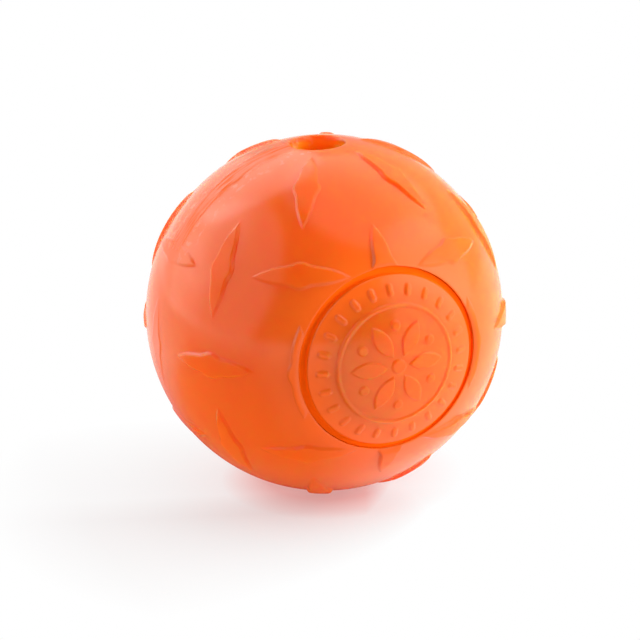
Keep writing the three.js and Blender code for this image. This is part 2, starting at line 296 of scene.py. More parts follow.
    # The bleed fades out close to the joint and the groove, where the wall ends
    skin_bleed = lit_share
    for factor in (past_joint, past_groove):
        skin_bleed = add_node(tree, "ShaderNodeMath", {0: skin_bleed, 1: factor}, operation="MULTIPLY")
    mouth_bleed = add_node(tree, "ShaderNodeMath", {0: in_mouth, 1: past_mouth_joint}, operation="MULTIPLY")
    bleed = add_node(tree, "ShaderNodeMath", {0: skin_bleed, 1: mouth_bleed}, operation="MAXIMUM")
    skin = add_node(
        tree, "ShaderNodeBsdfPrincipled",
        {
            "Base Color": colour.outputs[2], "Normal": even_normal, "Specular IOR Level": 0.0,
            "Subsurface Weight": bleed, "Subsurface Radius": (1, 0.12, 0.06), "Subsurface Scale": 12 * MM,
            "Coat Weight": shine, "Coat Roughness": gloss, "Coat IOR": 1.49, "Coat Normal": rough_seam,
        },
    )
    add_node(tree, "ShaderNodeOutputMaterial", {"Surface": skin})
    return material


def lug_places():
    """Outward and lengthwise directions of each lug. The rows nearest the mouths hold upright lugs alone."""
    places = []
    for row in range(-LUG_ROWS_EACH_WAY, LUG_ROWS_EACH_WAY + 1):
        for column in range(LUG_COLUMNS):
            upright = (row + column) % 2 == 1
            at_medallion = row == 0 and column == 0
            crowded = abs(row) == LUG_ROWS_EACH_WAY and not upright
            if at_medallion or crowded:
                continue
            latitude = row * CELL_ANGLE
            longitude = column * CELL_ANGLE
            east = np.array([math.cos(longitude), math.sin(longitude), 0])
            level = np.array([math.sin(longitude), -math.cos(longitude), 0])
            outward = math.cos(latitude) * level + np.array([0, 0, math.sin(latitude)])
            places.append((outward, np.cross(outward, east) if upright else east))
    return places


def lug_points(outward, lengthwise):
    """Points on the ball in lines along a lug's outline, from inside its top to outside its foot."""
    crosswise = np.cross(outward, lengthwise)
    reach = LUG_LENGTH / 2 + 2 * SKIN_STEP
    line = np.linspace(-reach, reach, round(2 * reach / SKIN_STEP))
    half_width = LUG_WIDTH / 2 * (1 - np.abs(2 * line / LUG_LENGTH) ** LUG_FULLNESS)
    half_width += LUG_BULGE * np.exp(-np.abs(line / LUG_BULGE_LENGTH) ** LUG_BULGE_SHARPNESS)
    across = half_width[:, None] + LUG_EDGE_STEPS
    along = np.broadcast_to(line[:, None], across.shape)
    kept = across > LUG_CLEARANCE
    turn = np.concatenate([along[kept], along[kept], line]) / BALL_RADIUS
    lean = np.concatenate([across[kept], -across[kept], 0 * line]) / BALL_RADIUS
    return BALL_RADIUS * (
        np.outer(np.sin(turn) * np.cos(lean), lengthwise)
        + np.outer(np.sin(lean), crosswise)
        + np.outer(np.cos(turn) * np.cos(lean), outward)
    )


def clear_of(points, others, clearance):
    """The points that lie at least this far from all the others."""
    tree = KDTree(len(others))
    for i, other in enumerate(others):
        tree.insert(other, i)
    tree.balance()
    return points[[tree.find(point)[2] > clearance for point in points]]


def filled(points, flat, loops):
    """Triangles between points at flat places, in a loop of point numbers and outside the loops within it."""
    edges = [pair for loop in loops for pair in zip(loop, np.roll(loop, -1))]
    inside_loops = 1
    found = delaunay_2d_cdt([Vector(place) for place in flat], edges, [], inside_loops, FLAT_TOLERANCE)
    triangles = np.array(found[2])
    kept = np.array([origins[0] for origins in found[3]])
    for hole in loops[1:]:
        triangles = triangles[~np.isin(kept[triangles], hole).all(axis=1)]
    return points[kept], triangles


def grid(rows):
    """Quads between rows of points."""
    count, length = rows.shape[:2]
    corner = np.arange(count * length).reshape(count, length)
    quads = np.stack([corner[:-1, :-1], corner[1:, :-1], corner[1:, 1:], corner[:-1, 1:]], axis=-1)
    return rows.reshape(-1, 3), quads.reshape(-1, 4)


def arc(middle, radius, start, end, steps):
    """Points of a round stretch of a profile, from one angle to another."""
    angle = np.linspace(start, end, steps + 1)
    return np.stack([middle[0] + radius * np.cos(angle), middle[1] + radius * np.sin(angle)], axis=-1)


def flattened(up):
    """Heights on the skin, cut off level at the lands round the mouths and blended into them."""
    size = np.abs(up)
    overlap = np.clip(1 - np.abs(size - land_height) / LAND_BLEND, 0, 1)
    return np.sign(up) * (np.minimum(size, land_height) - overlap ** 2 * LAND_BLEND / 4)


def height_at(out):
    """Height of the ball's surface at a distance from a line through its middle."""
    return math.sqrt(BALL_RADIUS ** 2 - out ** 2)


def seam_angles():
    """Angles from upright of the points of the seam, between the rims of the mouths."""
    start = math.asin(MOUTH_RIM / BALL_RADIUS)
    steps = round((math.pi - 2 * start) * BALL_RADIUS / SKIN_STEP)
    return np.linspace(start, math.pi - start, steps + 1)[1:-1]


def with_more(points, more, side, clearance):
    """The points with those of the others that lie on this half's skin, clear of the seam and the points."""
    on_half = side * more[:, 1] > clearance
    past_pocket = (side > 0) | (np.hypot(more[:, 0], more[:, 2]) > POCKET_RADIUS)
    past_mouth = np.hypot(more[:, 0], more[:, 1]) > MOUTH_RIM
    more = more[on_half & past_pocket & past_mouth]
    return np.concatenate([points, clear_of(more, points, clearance)]) if len(more) else points


def skin_patch(side):
    """The outer skin of one half, on the ball, with its lip round the pocket and its lands flattened."""

    def rings(out):
        around = np.stack([out * np.sin(half_turn), side * out * np.cos(half_turn)], axis=-1)
        return [np.insert(around, 2, up, axis=1) for up in (height_at(out), -height_at(out))]

    def seam_row(offset):
        angle = seam_angles()
        level = height_at(offset)
        across = np.full_like(angle, side * offset)
        return np.stack([level * np.sin(angle), across, level * np.cos(angle)], axis=-1)

    def pocket_ring(offset):
        angle = np.linspace(0, 2 * math.pi, POCKET_STEPS, endpoint=False)
        out = POCKET_RADIUS + offset
        forward = np.full_like(angle, -height_at(out))
        return np.stack([out * np.cos(angle), forward, out * np.sin(angle)], axis=-1)

    mirrored = np.array([-1, 1, 1])
    upper_rim, lower_rim = rings(MOUTH_RIM)
    left_seam = seam_row(0) * mirrored
    points = np.concatenate([upper_rim, seam_row(0), lower_rim[::-1], left_seam[::-1]])
    loops = [np.arange(len(points))]
    if side < 0:
        loops.append(np.arange(POCKET_STEPS) + len(points))
        points = np.concatenate([points, pocket_ring(0)])
        near_pocket = np.concatenate([pocket_ring(offset) for offset in POCKET_RINGS])
        points = np.concatenate([points, clear_of(near_pocket, points, RING_CLEARANCE)])
    for offset in MOUTH_RINGS:
        points = np.concatenate([points, *(ring[1:-1] for ring in rings(MOUTH_RIM + offset))])
    near_seam = np.concatenate([seam_row(offset) * flip for offset in SEAM_ROWS for flip in (1, mirrored)])
    points = np.concatenate([points, clear_of(near_seam, points, RING_CLEARANCE)])
    for outward, lengthwise in lug_places():
        points = with_more(points, lug_points(outward, lengthwise), side, LUG_CLEARANCE)
    number = np.arange(SKIN_POINTS) + 0.5
    depth = number / SKIN_POINTS
    angle = number * GOLDEN_ANGLE
    out = np.sqrt(1 - depth ** 2)
    even = BALL_RADIUS * np.stack([out * np.cos(angle), side * depth, out * np.sin(angle)], axis=-1)
    points = with_more(points, even, side, SKIN_CLEARANCE)

    flat = points[:, [0, 2]] / (BALL_RADIUS + side * points[:, 1:2])
    points, triangles = filled(points, flat, loops)
    if side < 0:
        beyond_lip = np.hypot(points[:, 0], points[:, 2]) - POCKET_RADIUS
        short = np.clip(POCKET_LIP - beyond_lip, 0, POCKET_LIP)
        points[:, 1] += POCKET_LIP - np.sqrt(POCKET_LIP ** 2 - short ** 2)
    points[:, 2] = flattened(points[:, 2])
    return points, triangles


def inside_profile():
    """Distance out and height along the upper rim, the mouths' walls, the cavity and the lower rim."""
    quarter = math.pi / 2
    lip = arc((MOUTH_RIM, 0), MOUTH_ROUND, quarter, 2 * quarter, LIP_STEPS)
    lip[:, 1] = flattened(height_at(MOUTH_RIM)) - MOUTH_LIP_DEPTH * (1 - lip[:, 1] / MOUTH_ROUND)
    cavity = arc((0, 0), CAVITY_RADIUS, math.acos(MOUTH_RADIUS / CAVITY_RADIUS), 0, CAVITY_STEPS)
    upper = np.concatenate([lip, cavity])
    return np.concatenate([upper, upper[-2::-1] * [1, -1]])


def inside_patch(side):
    """Walls of the mouths and half of the cavity."""
    profile = inside_profile()
    out = profile[:, :1]
    up = np.broadcast_to(profile[:, 1:], (len(profile), len(half_turn)))
    return grid(np.stack([out * np.sin(half_turn), side * out * np.cos(half_turn), up], axis=-1))


def keyway_patches(side, flip):
    """Half-round trough in a mating face along the middle of the wall, its end caps, and its outline."""
    clear = math.asin((MOUTH_RADIUS + KEYWAY_STANDOFF) / WALL_MIDDLE)
    along = np.linspace(clear, math.pi - clear, KEYWAY_STEPS + 1)[:, None]
    round_way = np.linspace(0, math.pi, KEYWAY_ROUND_STEPS + 1)
    radius = WALL_MIDDLE + KEYWAY_RADIUS * np.cos(round_way)
    depth = np.broadcast_to(side * KEYWAY_RADIUS * np.sin(round_way), (len(along), len(round_way)))
    rows = np.stack([flip * radius * np.sin(along), depth, radius * np.cos(along)], axis=-1)
    caps = [(end, [np.arange(len(round_way))]) for end in (rows[0], rows[-1])]
    outline = np.concatenate([rows[:, 0], rows[::-1, -1]])
    return [grid(rows), *caps], outline


def mating_patches(side, flip):
    """Flat mating face from the mouths down one side, with its keyway."""
    troughs, keyway = keyway_patches(side, flip)
    angle = seam_angles()
    outer = np.stack([BALL_RADIUS * np.sin(angle), flattened(BALL_RADIUS * np.cos(angle))], axis=-1)
    edge = np.insert(np.concatenate([outer, inside_profile()[::-1]]), 1, 0, axis=1) * [flip, 1, 1]
    points = np.concatenate([edge, keyway])
    loops = [np.arange(len(edge)), np.arange(len(keyway)) + len(edge)]
    return [filled(points, points[:, [0, 2]], loops), *troughs]


def keyed_surface(radius, edge, standoff, rising):
    """Profile of a round surface from its edge to its axis, cut by the ring keyway of the bead there."""
    tilt = math.asin(BEAD_RING_RADIUS / (radius + standoff))
    middle = (radius + standoff) * np.array([math.sin(tilt), math.cos(tilt)])
    meets = math.asin(standoff / BEAD_KEYWAY_RADIUS)
    sweep = math.pi if rising else -math.pi
    keyway = arc(middle, BEAD_KEYWAY_RADIUS, -meets - tilt, sweep + meets - tilt, RING_KEYWAY_STEPS)
    before, after = [math.atan2(up, out) for out, up in (keyway[0], keyway[-1])]
    return np.concatenate([
        arc((0, 0), radius, math.acos(edge / radius), before, EDGE_TO_KEYWAY_STEPS),
        keyway,
        arc((0, 0), radius, after, math.pi / 2, KEYWAY_TO_AXIS_STEPS),
    ])


def turned_towards_front(profile, steps):
    """Profile of distance out and height, turned about the axis that faces -Y."""
    angle = np.linspace(0, 2 * math.pi, steps + 1)
    out = profile[:, :1]
    down = np.broadcast_to(-profile[:, 1:], (len(profile), steps + 1))
    return grid(np.stack([out * np.cos(angle), down, out * np.sin(angle)], axis=-1))


def pocket_patch():
    """Wall and floor of the medallion's pocket, with the ring keyway in the floor."""
    wall_top = (POCKET_RADIUS, height_at(POCKET_RADIUS) - POCKET_LIP)
    seat = keyed_surface(POCKET_FLOOR_RADIUS, POCKET_RADIUS, BEAD_STANDOFF, False)
    return turned_towards_front(np.concatenate([[wall_top], seat]), POCKET_STEPS)


def welded_piece(name, patches, shift):
    """One closed mesh object from patches that share their edges, with its faces outwards."""
    body = bmesh.new()
    for points, faces in patches:
        corners = [body.verts.new(point) for point in points]
        for face in faces:
            body.faces.new([corners[i] for i in face])
    bmesh.ops.remove_doubles(body, verts=body.verts, dist=WELD_DISTANCE)
    bmesh.ops.recalc_face_normals(body, faces=body.faces)
    mesh = bpy.data.meshes.new(name)
    body.to_mesh(mesh)
    body.free()
    mesh.transform(Matrix.Translation(shift))
    piece = bpy.data.objects.new(name, mesh)
    bpy.context.scene.collection.objects.link(piece)
    return piece


def new_tree(name, values):
    """An empty geometry tree with a named input for each value, and the outputs of its first node."""
    tree = bpy.data.node_groups.new(name, "GeometryNodeTree")
    for way in ("INPUT", "OUTPUT"):
        tree.interface.new_socket("Geometry", in_out=way, socket_type="NodeSocketGeometry")
    kinds = {bpy.types.Object: "Object", bpy.types.Material: "Material", Vector: "Vector"}
    for label, value in values.items():
        kind = kinds.get(type(value), "Float")
        tree.interface.new_socket(label, in_out="INPUT", socket_type="NodeSocket" + kind)
    return tree, add_node(tree, "NodeGroupInput").outputs


def rounded_rise(tree, given, outside, height):
    """How high a lug stands, from its foot outside its outline to its shoulder inside."""
    shoulder = add_node(tree, "ShaderNodeMath", {0: given["Shoulder"], 1: -1.0}, operation="MULTIPLY")
    return add_node(
        tree, "ShaderNodeMapRange",
        {"Value": outside, "From Min": given["Foot"], "From Max": shoulder, "To Max": height},
        interpolation_type="SMOOTHSTEP",
    )


def finish_relief(tree, given, from_middle, outward, relief):
    """Moves the skin outwards by the relief, and ends the tree as one plain mesh with its material."""
    reach = add_node(tree, "ShaderNodeVectorMath", {0: from_middle}, operation="LENGTH").outputs["Value"]
    limit = add_node(
        tree, "ShaderNodeMath", {0: given["Ball Radius"], 1: given["Skin Depth"]}, operation="SUBTRACT",
    )
    on_skin = add_node(tree, "FunctionNodeCompare", {"A": reach, "B": limit}, operation="GREATER_THAN")
    raised = add_node(tree, "ShaderNodeVectorMath", {0: outward, "Scale": relief}, operation="SCALE")
    moved = add_node(
        tree, "GeometryNodeSetPosition",
        {"Geometry": given["Geometry"], "Selection": on_skin, "Offset": raised},
    )
    whole = add_node(tree, "GeometryNodeRealizeInstances", {"Geometry": moved})
    dressed = add_node(tree, "GeometryNodeSetMaterial", {"Geometry": whole, "Material": given["Material"]})
    add_node(tree, "NodeGroupOutput", {"Geometry": dressed})


def shaped(piece, tree, values):
    """Runs a tree on a piece with these values for its inputs, and leaves the result as a plain mesh."""
    modifier = piece.modifiers.new(tree.name, "NODES")
    modifier.node_group = tree
    for item in tree.interface.items_tree:
        if item.in_out == "INPUT" and item.name in values:
            modifier[item.identifier] = values[item.name]
    evaluated = piece.evaluated_get(bpy.context.evaluated_depsgraph_get())
    plain = bpy.data.meshes.new_from_object(evaluated)
    piece.modifiers.remove(modifier)
    piece.data = plain
    plain.name = piece.name
    plain.shade_smooth()
    plain.set_sharp_from_angle(angle=CREASE_ANGLE)
    return piece


def tread_tree(values):
    """Raises every lug of the tread out of the skin, less so by the left seam and not at the pocket's lip."""
    tree, given = new_tree("diamond_plate_tread", values)
    position = add_node(tree, "GeometryNodeInputPosition")
    from_middle, outward, parts, off_left_seam, off_front = place_on_ball(
        tree, position, given["Ball Middle"],
    )
    places = add_node(tree, "GeometryNodeObjectInfo", {"Object": given["Lug Places"]}).outputs["Geometry"]
    count = add_node(tree, "GeometryNodeAttributeDomainSize", {"Geometry": places}, component="MESH")

    each = add_node(tree, "GeometryNodeRepeatInput")
    done = add_node(tree, "GeometryNodeRepeatOutput")
    each.pair_with_output(done)
    done.repeat_items.clear()
    done.repeat_items.new("FLOAT", "Relief")
    tree.links.new(count.outputs["Point Count"], each.inputs["Iterations"])
    number = each.outputs["Iteration"]
    lengthwise_of_lug = add_node(
        tree, "GeometryNodeInputNamedAttribute", {"Name": "lengthwise"}, data_type="FLOAT_VECTOR",
    )
    middle, lengthwise = [
        add_node(
            tree, "GeometryNodeSampleIndex",
            {"Geometry": places, "Value": value, "Index": number}, data_type="FLOAT_VECTOR",
        )
        for value in (position, lengthwise_of_lug)
    ]
    crosswise = add_node(tree, "ShaderNodeVectorMath", {0: middle, 1: lengthwise}, operation="CROSS_PRODUCT")
    dot_products = [
        add_node(tree, "ShaderNodeVectorMath", {0: outward, 1: axis}, operation="DOT_PRODUCT")
        for axis in (middle, lengthwise, crosswise)
    ]
    to_middle, to_end, to_edge = [product.outputs["Value"] for product in dot_products]
    along_angle = add_node(tree, "ShaderNodeMath", {0: to_end, 1: to_middle}, operation="ARCTAN2")
    across_angle = add_node(tree, "ShaderNodeMath", {0: to_edge}, operation="ARCSINE")
    across_size = add_node(tree, "ShaderNodeMath", {0: across_angle}, operation="ABSOLUTE")
    along = add_node(tree, "ShaderNodeMath", {0: along_angle, 1: given["Ball Radius"]}, operation="MULTIPLY")
    across = add_node(tree, "ShaderNodeMath", {0: across_size, 1: given["Ball Radius"]}, operation="MULTIPLY")
    share = add_node(tree, "ShaderNodeMath", {0: along, 1: given["Half Length"]}, operation="DIVIDE")
    share_size = add_node(tree, "ShaderNodeMath", {0: share}, operation="ABSOLUTE")
    lost = add_node(tree, "ShaderNodeMath", {0: share_size, 1: given["Fullness"]}, operation="POWER")
    narrowing = add_node(tree, "ShaderNodeMath", {0: 1.0, 1: lost}, operation="SUBTRACT")
    lens = add_node(tree, "ShaderNodeMath", {0: given["Half Width"], 1: narrowing}, operation="MULTIPLY")
    near = add_node(tree, "ShaderNodeMath", {0: along, 1: given["Bulge Length"]}, operation="DIVIDE")
    near_size = add_node(tree, "ShaderNodeMath", {0: near}, operation="ABSOLUTE")
    past_bulge = add_node(tree, "ShaderNodeMath", {0: near_size, 1: given["Sharpness"]}, operation="POWER")
    fading = add_node(tree, "ShaderNodeMath", {0: math.exp(-1), 1: past_bulge}, operation="POWER")
    edge = add_node(tree, "ShaderNodeMath", {0: fading, 1: given["Bulge"], 2: lens}, operation="MULTIPLY_ADD")
    outside = add_node(tree, "ShaderNodeMath", {0: across, 1: edge}, operation="SUBTRACT")
    share_squared = add_node(tree, "ShaderNodeMath", {0: share, 1: share}, operation="MULTIPLY")
    crest = add_node(
        tree, "ShaderNodeMapRange",
        {"Value": share_squared, "To Min": given["Lug Height"], "To Max": given["Tip Height"]},
    )
    rise = rounded_rise(tree, given, outside, crest)
    higher = add_node(tree, "ShaderNodeMath", {0: rise, 1: each.outputs["Relief"]}, operation="MAXIMUM")
    tree.links.new(higher.outputs[0], done.inputs["Relief"])

    left_share = add_node(
        tree, "ShaderNodeMapRange",
        {"Value": off_left_seam, "From Max": given["Wear Reach"], "To Min": given["Worn Share"]},
        interpolation_type="SMOOTHSTEP",
    )
    worn = add_node(tree, "ShaderNodeMath", {0: done.outputs["Relief"], 1: left_share}, operation="MULTIPLY")
    lip_end = add_node(
        tree, "ShaderNodeMath", {0: given["Pocket Radius"], 1: given["Lip Reach"]}, operation="ADD",
    )
    past_lip = add_node(
        tree, "ShaderNodeMapRange",
        {"Value": off_front, "From Min": given["Pocket Radius"], "From Max": lip_end},
        interpolation_type="SMOOTHSTEP",
    )
    in_front = add_node(tree, "FunctionNodeCompare", {"A": parts["Y"], "B": 0.0}, operation="LESS_THAN")
    at_lip = add_node(
        tree, "GeometryNodeSwitch", {"Switch": in_front, "False": 1.0, "True": past_lip}, input_type="FLOAT",
    )
    relief = add_node(tree, "ShaderNodeMath", {0: worn, 1: at_lip}, operation="MULTIPLY")
    finish_relief(tree, given, from_middle, outward, relief)
    return tree


def lug_places_object():
    """A point for each lug at its outward direction, with its lengthwise direction as an attribute."""
    places = lug_places()
    mesh = bpy.data.meshes.new("lug_places")
    mesh.from_pydata([outward for outward, _ in places], [], [])
    attribute = mesh.attributes.new("lengthwise", "FLOAT_VECTOR", "POINT")
    lengthwise_of_all = np.array([lengthwise for _, lengthwise in places], np.float32)
    attribute.data.foreach_set("vector", lengthwise_of_all.ravel())
    holder = bpy.data.objects.new("lug_places", mesh)
    bpy.context.scene.collection.objects.link(holder)
    return holder


elastomer = moulded_elastomer()
places_holder = lug_places_object()
tread_values = {
    "Lug Places": places_holder, "Ball Middle": ball_middle, "Ball Radius": BALL_RADIUS,
    "Skin Depth": SKIN_DEPTH, "Half Length": LUG_LENGTH / 2, "Half Width": LUG_WIDTH / 2,
    "Fullness": LUG_FULLNESS, "Bulge": LUG_BULGE, "Bulge Length": LUG_BULGE_LENGTH,
    "Sharpness": LUG_BULGE_SHARPNESS,
    "Lug Height": LUG_HEIGHT, "Tip Height": LUG_TIP_HEIGHT, "Foot": LUG_FOOT, "Shoulder": LUG_SHOULDER,
    "Worn Share": WORN_SHARE, "Wear Reach": WEAR_REACH, "Pocket Radius": POCKET_RADIUS,
    "Lip Reach": LUG_LIP_REACH, "Material": elastomer,
}
tread = tread_tree(tread_values)
for name, side in (("front_half_shell", -1), ("rear_half_shell", 1)):
    patches = [skin_patch(side), inside_patch(side), *mating_patches(side, 1), *mating_patches(side, -1)]
    if side < 0:
        patches.append(pocket_patch())
    shift = ball_middle + Vector((0, side * SEAM_GAP / 2, 0))
    half = shaped(welded_piece(name + "_skin", patches, shift), tread, tread_values)
    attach(half, "root")
    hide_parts(name)
bpy.data.objects.remove(places_holder)


# Medallion
# A disc of the same elastomer, moulded with a plain ornament in low relief and a rebate round its edge, which
# shows as a ring groove. It is bonded into the pocket of the front half by a ring bead under it.
DISC_BACK_RADIUS = 34.4 * MM
DISC_EDGE_RADIUS = 19.1 * MM
DISC_TOP_RADIUS = 17.9 * MM
DISC_TOP_ROUND = 0.5 * MM
GROOVE_DEPTH = 0.75 * MM
GROOVE_ROUND = 0.4 * MM
DOME_DEPTH = 0.02 * MM
DISC_TURN_STEPS = 480
DISC_RINGS = 96
DISC_ROUND_STEPS = 6

# Ornament: a boss, dots and ribs with round ends, petals between, and a fine ring
RELIEF_HEIGHT = 0.37 * MM
RELIEF_FOOT = 0.16 * MM
RELIEF_SHOULDER = 0.26 * MM
PETAL_COUNT = 6
PETAL_LENGTH = 7.6 * MM
PETAL_WIDTH = 3.4 * MM
PETAL_START = 2.4 * MM
RING_RADIUS = 12.5 * MM
RING_WIDTH = 0.8 * MM
ROUND_ENDED_LUGS = {
    "boss": {"count": 1, "out": 0, "turn": 0, "length": 3 * MM, "width": 3 * MM},
    "dots": {"count": 6, "out": 8.5 * MM, "turn": 0.5, "length": 2 * MM, "width": 2 * MM},
    "ribs": {"count": 24, "out": 15.65 * MM, "turn": 0, "length": 2.6 * MM, "width": 1.2 * MM},
}


def disc_patch():
    """The disc without its ornament: dome, rounded shoulder, groove floor, edge and back."""
    quarter = math.pi / 2
    tilt = math.asin((DISC_TOP_RADIUS - DISC_TOP_ROUND) / (BALL_RADIUS - DISC_TOP_ROUND))
    shoulder_middle = (BALL_RADIUS - DISC_TOP_ROUND) * np.array([math.sin(tilt), math.cos(tilt)])
    floor_up = height_at(POCKET_RADIUS) - GROOVE_DEPTH
    groove_middle = (DISC_TOP_RADIUS + GROOVE_ROUND, floor_up + GROOVE_ROUND)
    profile = np.concatenate([
        arc((0, 0), BALL_RADIUS, quarter, quarter - tilt, DISC_RINGS),
        arc(shoulder_middle, DISC_TOP_ROUND, quarter - tilt, 0, DISC_ROUND_STEPS)[1:],
        arc(groove_middle, GROOVE_ROUND, 2 * quarter, 3 * quarter, DISC_ROUND_STEPS),
        [(DISC_EDGE_RADIUS, floor_up)],
        keyed_surface(DISC_BACK_RADIUS, DISC_EDGE_RADIUS, -BEAD_STANDOFF, True),
    ])
    return turned_towards_front(profile, DISC_TURN_STEPS)


def ornament_tree(values):
    """Raises the medallion's ornament out of its dome, in rounds about the axis that faces -Y."""
    tree, given = new_tree("medallion_ornament", values)
    position = add_node(tree, "GeometryNodeInputPosition")
    from_middle = add_node(
        tree, "ShaderNodeVectorMath", {0: position, 1: given["Ball Middle"]}, operation="SUBTRACT",
    )
    outward = add_node(tree, "ShaderNodeVectorMath", {0: from_middle}, operation="NORMALIZE")
    split = add_node(tree, "ShaderNodeSeparateXYZ", {0: outward}).outputs
    angle = add_node(tree, "ShaderNodeMath", {0: split["Z"], 1: split["X"]}, operation="ARCTAN2")
    level = add_node(tree, "ShaderNodeMath", {0: split["Y"], 1: -1.0}, operation="MULTIPLY")
    arc_angle = add_node(tree, "ShaderNodeMath", {0: level}, operation="ARCCOSINE")
    out = add_node(tree, "ShaderNodeMath", {0: arc_angle, 1: given["Ball Radius"]}, operation="MULTIPLY")

    def place_in_round(count, turn, middle):
        """Distances along and across the nearest copy of a lug that is repeated about the axis."""
        step = add_node(tree, "ShaderNodeMath", {0: 2 * math.pi, 1: count}, operation="DIVIDE")
        first = add_node(tree, "ShaderNodeMath", {0: step, 1: turn}, operation="MULTIPLY")
        turned = add_node(tree, "ShaderNodeMath", {0: angle, 1: first}, operation="SUBTRACT")
        half_step = add_node(tree, "ShaderNodeMath", {0: step, 1: 2.0}, operation="DIVIDE")
        low = add_node(tree, "ShaderNodeMath", {0: half_step, 1: -1.0}, operation="MULTIPLY")
        off = add_node(tree, "ShaderNodeMath", {0: turned, 1: half_step, 2: low}, operation="WRAP")
        cosine = add_node(tree, "ShaderNodeMath", {0: off}, operation="COSINE")
        sine = add_node(tree, "ShaderNodeMath", {0: off}, operation="SINE")
        reach = add_node(tree, "ShaderNodeMath", {0: out, 1: cosine}, operation="MULTIPLY")
        along = add_node(tree, "ShaderNodeMath", {0: reach, 1: middle}, operation="SUBTRACT")
        across = add_node(tree, "ShaderNodeMath", {0: out, 1: sine}, operation="MULTIPLY")
        return along, across

    outsides = []
    for lug in ROUND_ENDED_LUGS.values():
        along, across = place_in_round(lug["count"], lug["turn"], lug["out"])
        along_size = add_node(tree, "ShaderNodeMath", {0: along}, operation="ABSOLUTE")
        straight = (lug["length"] - lug["width"]) / 2
        past = add_node(tree, "ShaderNodeMath", {0: along_size, 1: straight}, operation="SUBTRACT")
        past_end = add_node(tree, "ShaderNodeMath", {0: past, 1: 0.0}, operation="MAXIMUM")
        offset = add_node(tree, "ShaderNodeCombineXYZ", {0: past_end, 1: across})
        spread = add_node(tree, "ShaderNodeVectorMath", {0: offset}, operation="LENGTH").outputs["Value"]
        outside = add_node(tree, "ShaderNodeMath", {0: spread, 1: lug["width"] / 2}, operation="SUBTRACT")
        outsides.append(outside)

    along, across = place_in_round(given["Petal Count"], 0.0, given["Petal Middle"])
    share = add_node(tree, "ShaderNodeMath", {0: along, 1: given["Half Length"]}, operation="DIVIDE")
    share_squared = add_node(tree, "ShaderNodeMath", {0: share, 1: share}, operation="MULTIPLY")
    narrowing = add_node(tree, "ShaderNodeMath", {0: 1.0, 1: share_squared}, operation="SUBTRACT")
    edge = add_node(tree, "ShaderNodeMath", {0: given["Half Width"], 1: narrowing}, operation="MULTIPLY")
    across_size = add_node(tree, "ShaderNodeMath", {0: across}, operation="ABSOLUTE")
    outsides.append(add_node(tree, "ShaderNodeMath", {0: across_size, 1: edge}, operation="SUBTRACT"))

    off_ring = add_node(tree, "ShaderNodeMath", {0: out, 1: given["Ring Radius"]}, operation="SUBTRACT")
    off_size = add_node(tree, "ShaderNodeMath", {0: off_ring}, operation="ABSOLUTE")
    nearest = add_node(tree, "ShaderNodeMath", {0: off_size, 1: given["Half Ring"]}, operation="SUBTRACT")
    for outside in outsides:
        nearest = add_node(tree, "ShaderNodeMath", {0: nearest, 1: outside}, operation="MINIMUM")

    rise = rounded_rise(tree, given, nearest, given["Relief Height"])
    finish_relief(tree, given, from_middle, outward, rise)
    return tree


ornament_values = {
    "Ball Middle": ball_middle, "Ball Radius": BALL_RADIUS, "Skin Depth": DOME_DEPTH,
    "Relief Height": RELIEF_HEIGHT, "Foot": RELIEF_FOOT, "Shoulder": RELIEF_SHOULDER,
    "Petal Count": PETAL_COUNT, "Petal Middle": PETAL_START + PETAL_LENGTH / 2,
    "Half Length": PETAL_LENGTH / 2, "Half Width": PETAL_WIDTH / 2,
    "Ring Radius": RING_RADIUS, "Half Ring": RING_WIDTH / 2, "Material": elastomer,
}
plain_disc = welded_piece("medallion_disc_relief", [disc_patch()], ball_middle)
disc = shaped(plain_disc, ornament_tree(ornament_values), ornament_values)
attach(disc, "root")
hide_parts("medallion_disc")


# Bond beads
# Round cords of rubbery bond, two in the seam's keyways and one in the ring keyway under the medallion. They
# are laid in soft and set there, and nothing of them shows on the finished ball.
BOND_COLOURS = ("#c9480f", "#de5a1c")
BUBBLE_SIZE = 0.9 * MM


def rubber_bond():
    """Set rubber cement: matt, a little darker than the shells, with small bubbles in it."""
    material = new_material("set_rubber_cement")
    tree = material.node_tree
    place = add_node(tree, "ShaderNodeTexCoord").outputs["Object"]
    bubbles = add_node(tree, "ShaderNodeTexVoronoi", {"Vector": place, "Scale": 1 / BUBBLE_SIZE})
    low, high = BOND_COLOURS
    tone = add_node(
        tree, "ShaderNodeMix",
        {"Factor": bubbles, 6: linear_colour(low), 7: linear_colour(high)}, data_type="RGBA",
    )
    pits = add_node(tree, "ShaderNodeBump", {"Height": bubbles, "Strength": 0.6, "Distance": 0.08 * MM})
    cement = add_node(
        tree, "ShaderNodeBsdfPrincipled", {"Base Color": tone.outputs[2], "Roughness": 0.6, "Normal": pits},
    )
    add_node(tree, "ShaderNodeOutputMaterial", {"Surface": cement})
    return material


bond = rubber_bond()
for name in ("seam_bead_left", "seam_bead_right", "medallion_bead"):
    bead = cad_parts[name]
    bead.data.materials.clear()
    bead.data.materials.append(bond)


# Camera
# It looks down on the ball from a little left of the medallion, tipped slightly, from half a metre away.
CAMERA_AZIMUTH = -22.3
CAMERA_ELEVATION = 19
CAMERA_ROLL = 2.36
CAMERA_DISTANCE = 505 * MM
CAMERA_LENS = 133
CAMERA_SHIFT = (-0.0068, -0.0121)


def towards(azimuth, elevation):
    """Direction from the ball's middle, in degrees. Azimuth 0 is -Y, and it grows towards +X."""
    turn, rise = math.radians(azimuth), math.radians(elevation)
    return Vector((math.sin(turn) * math.cos(rise), -math.cos(turn) * math.cos(rise), math.sin(rise)))


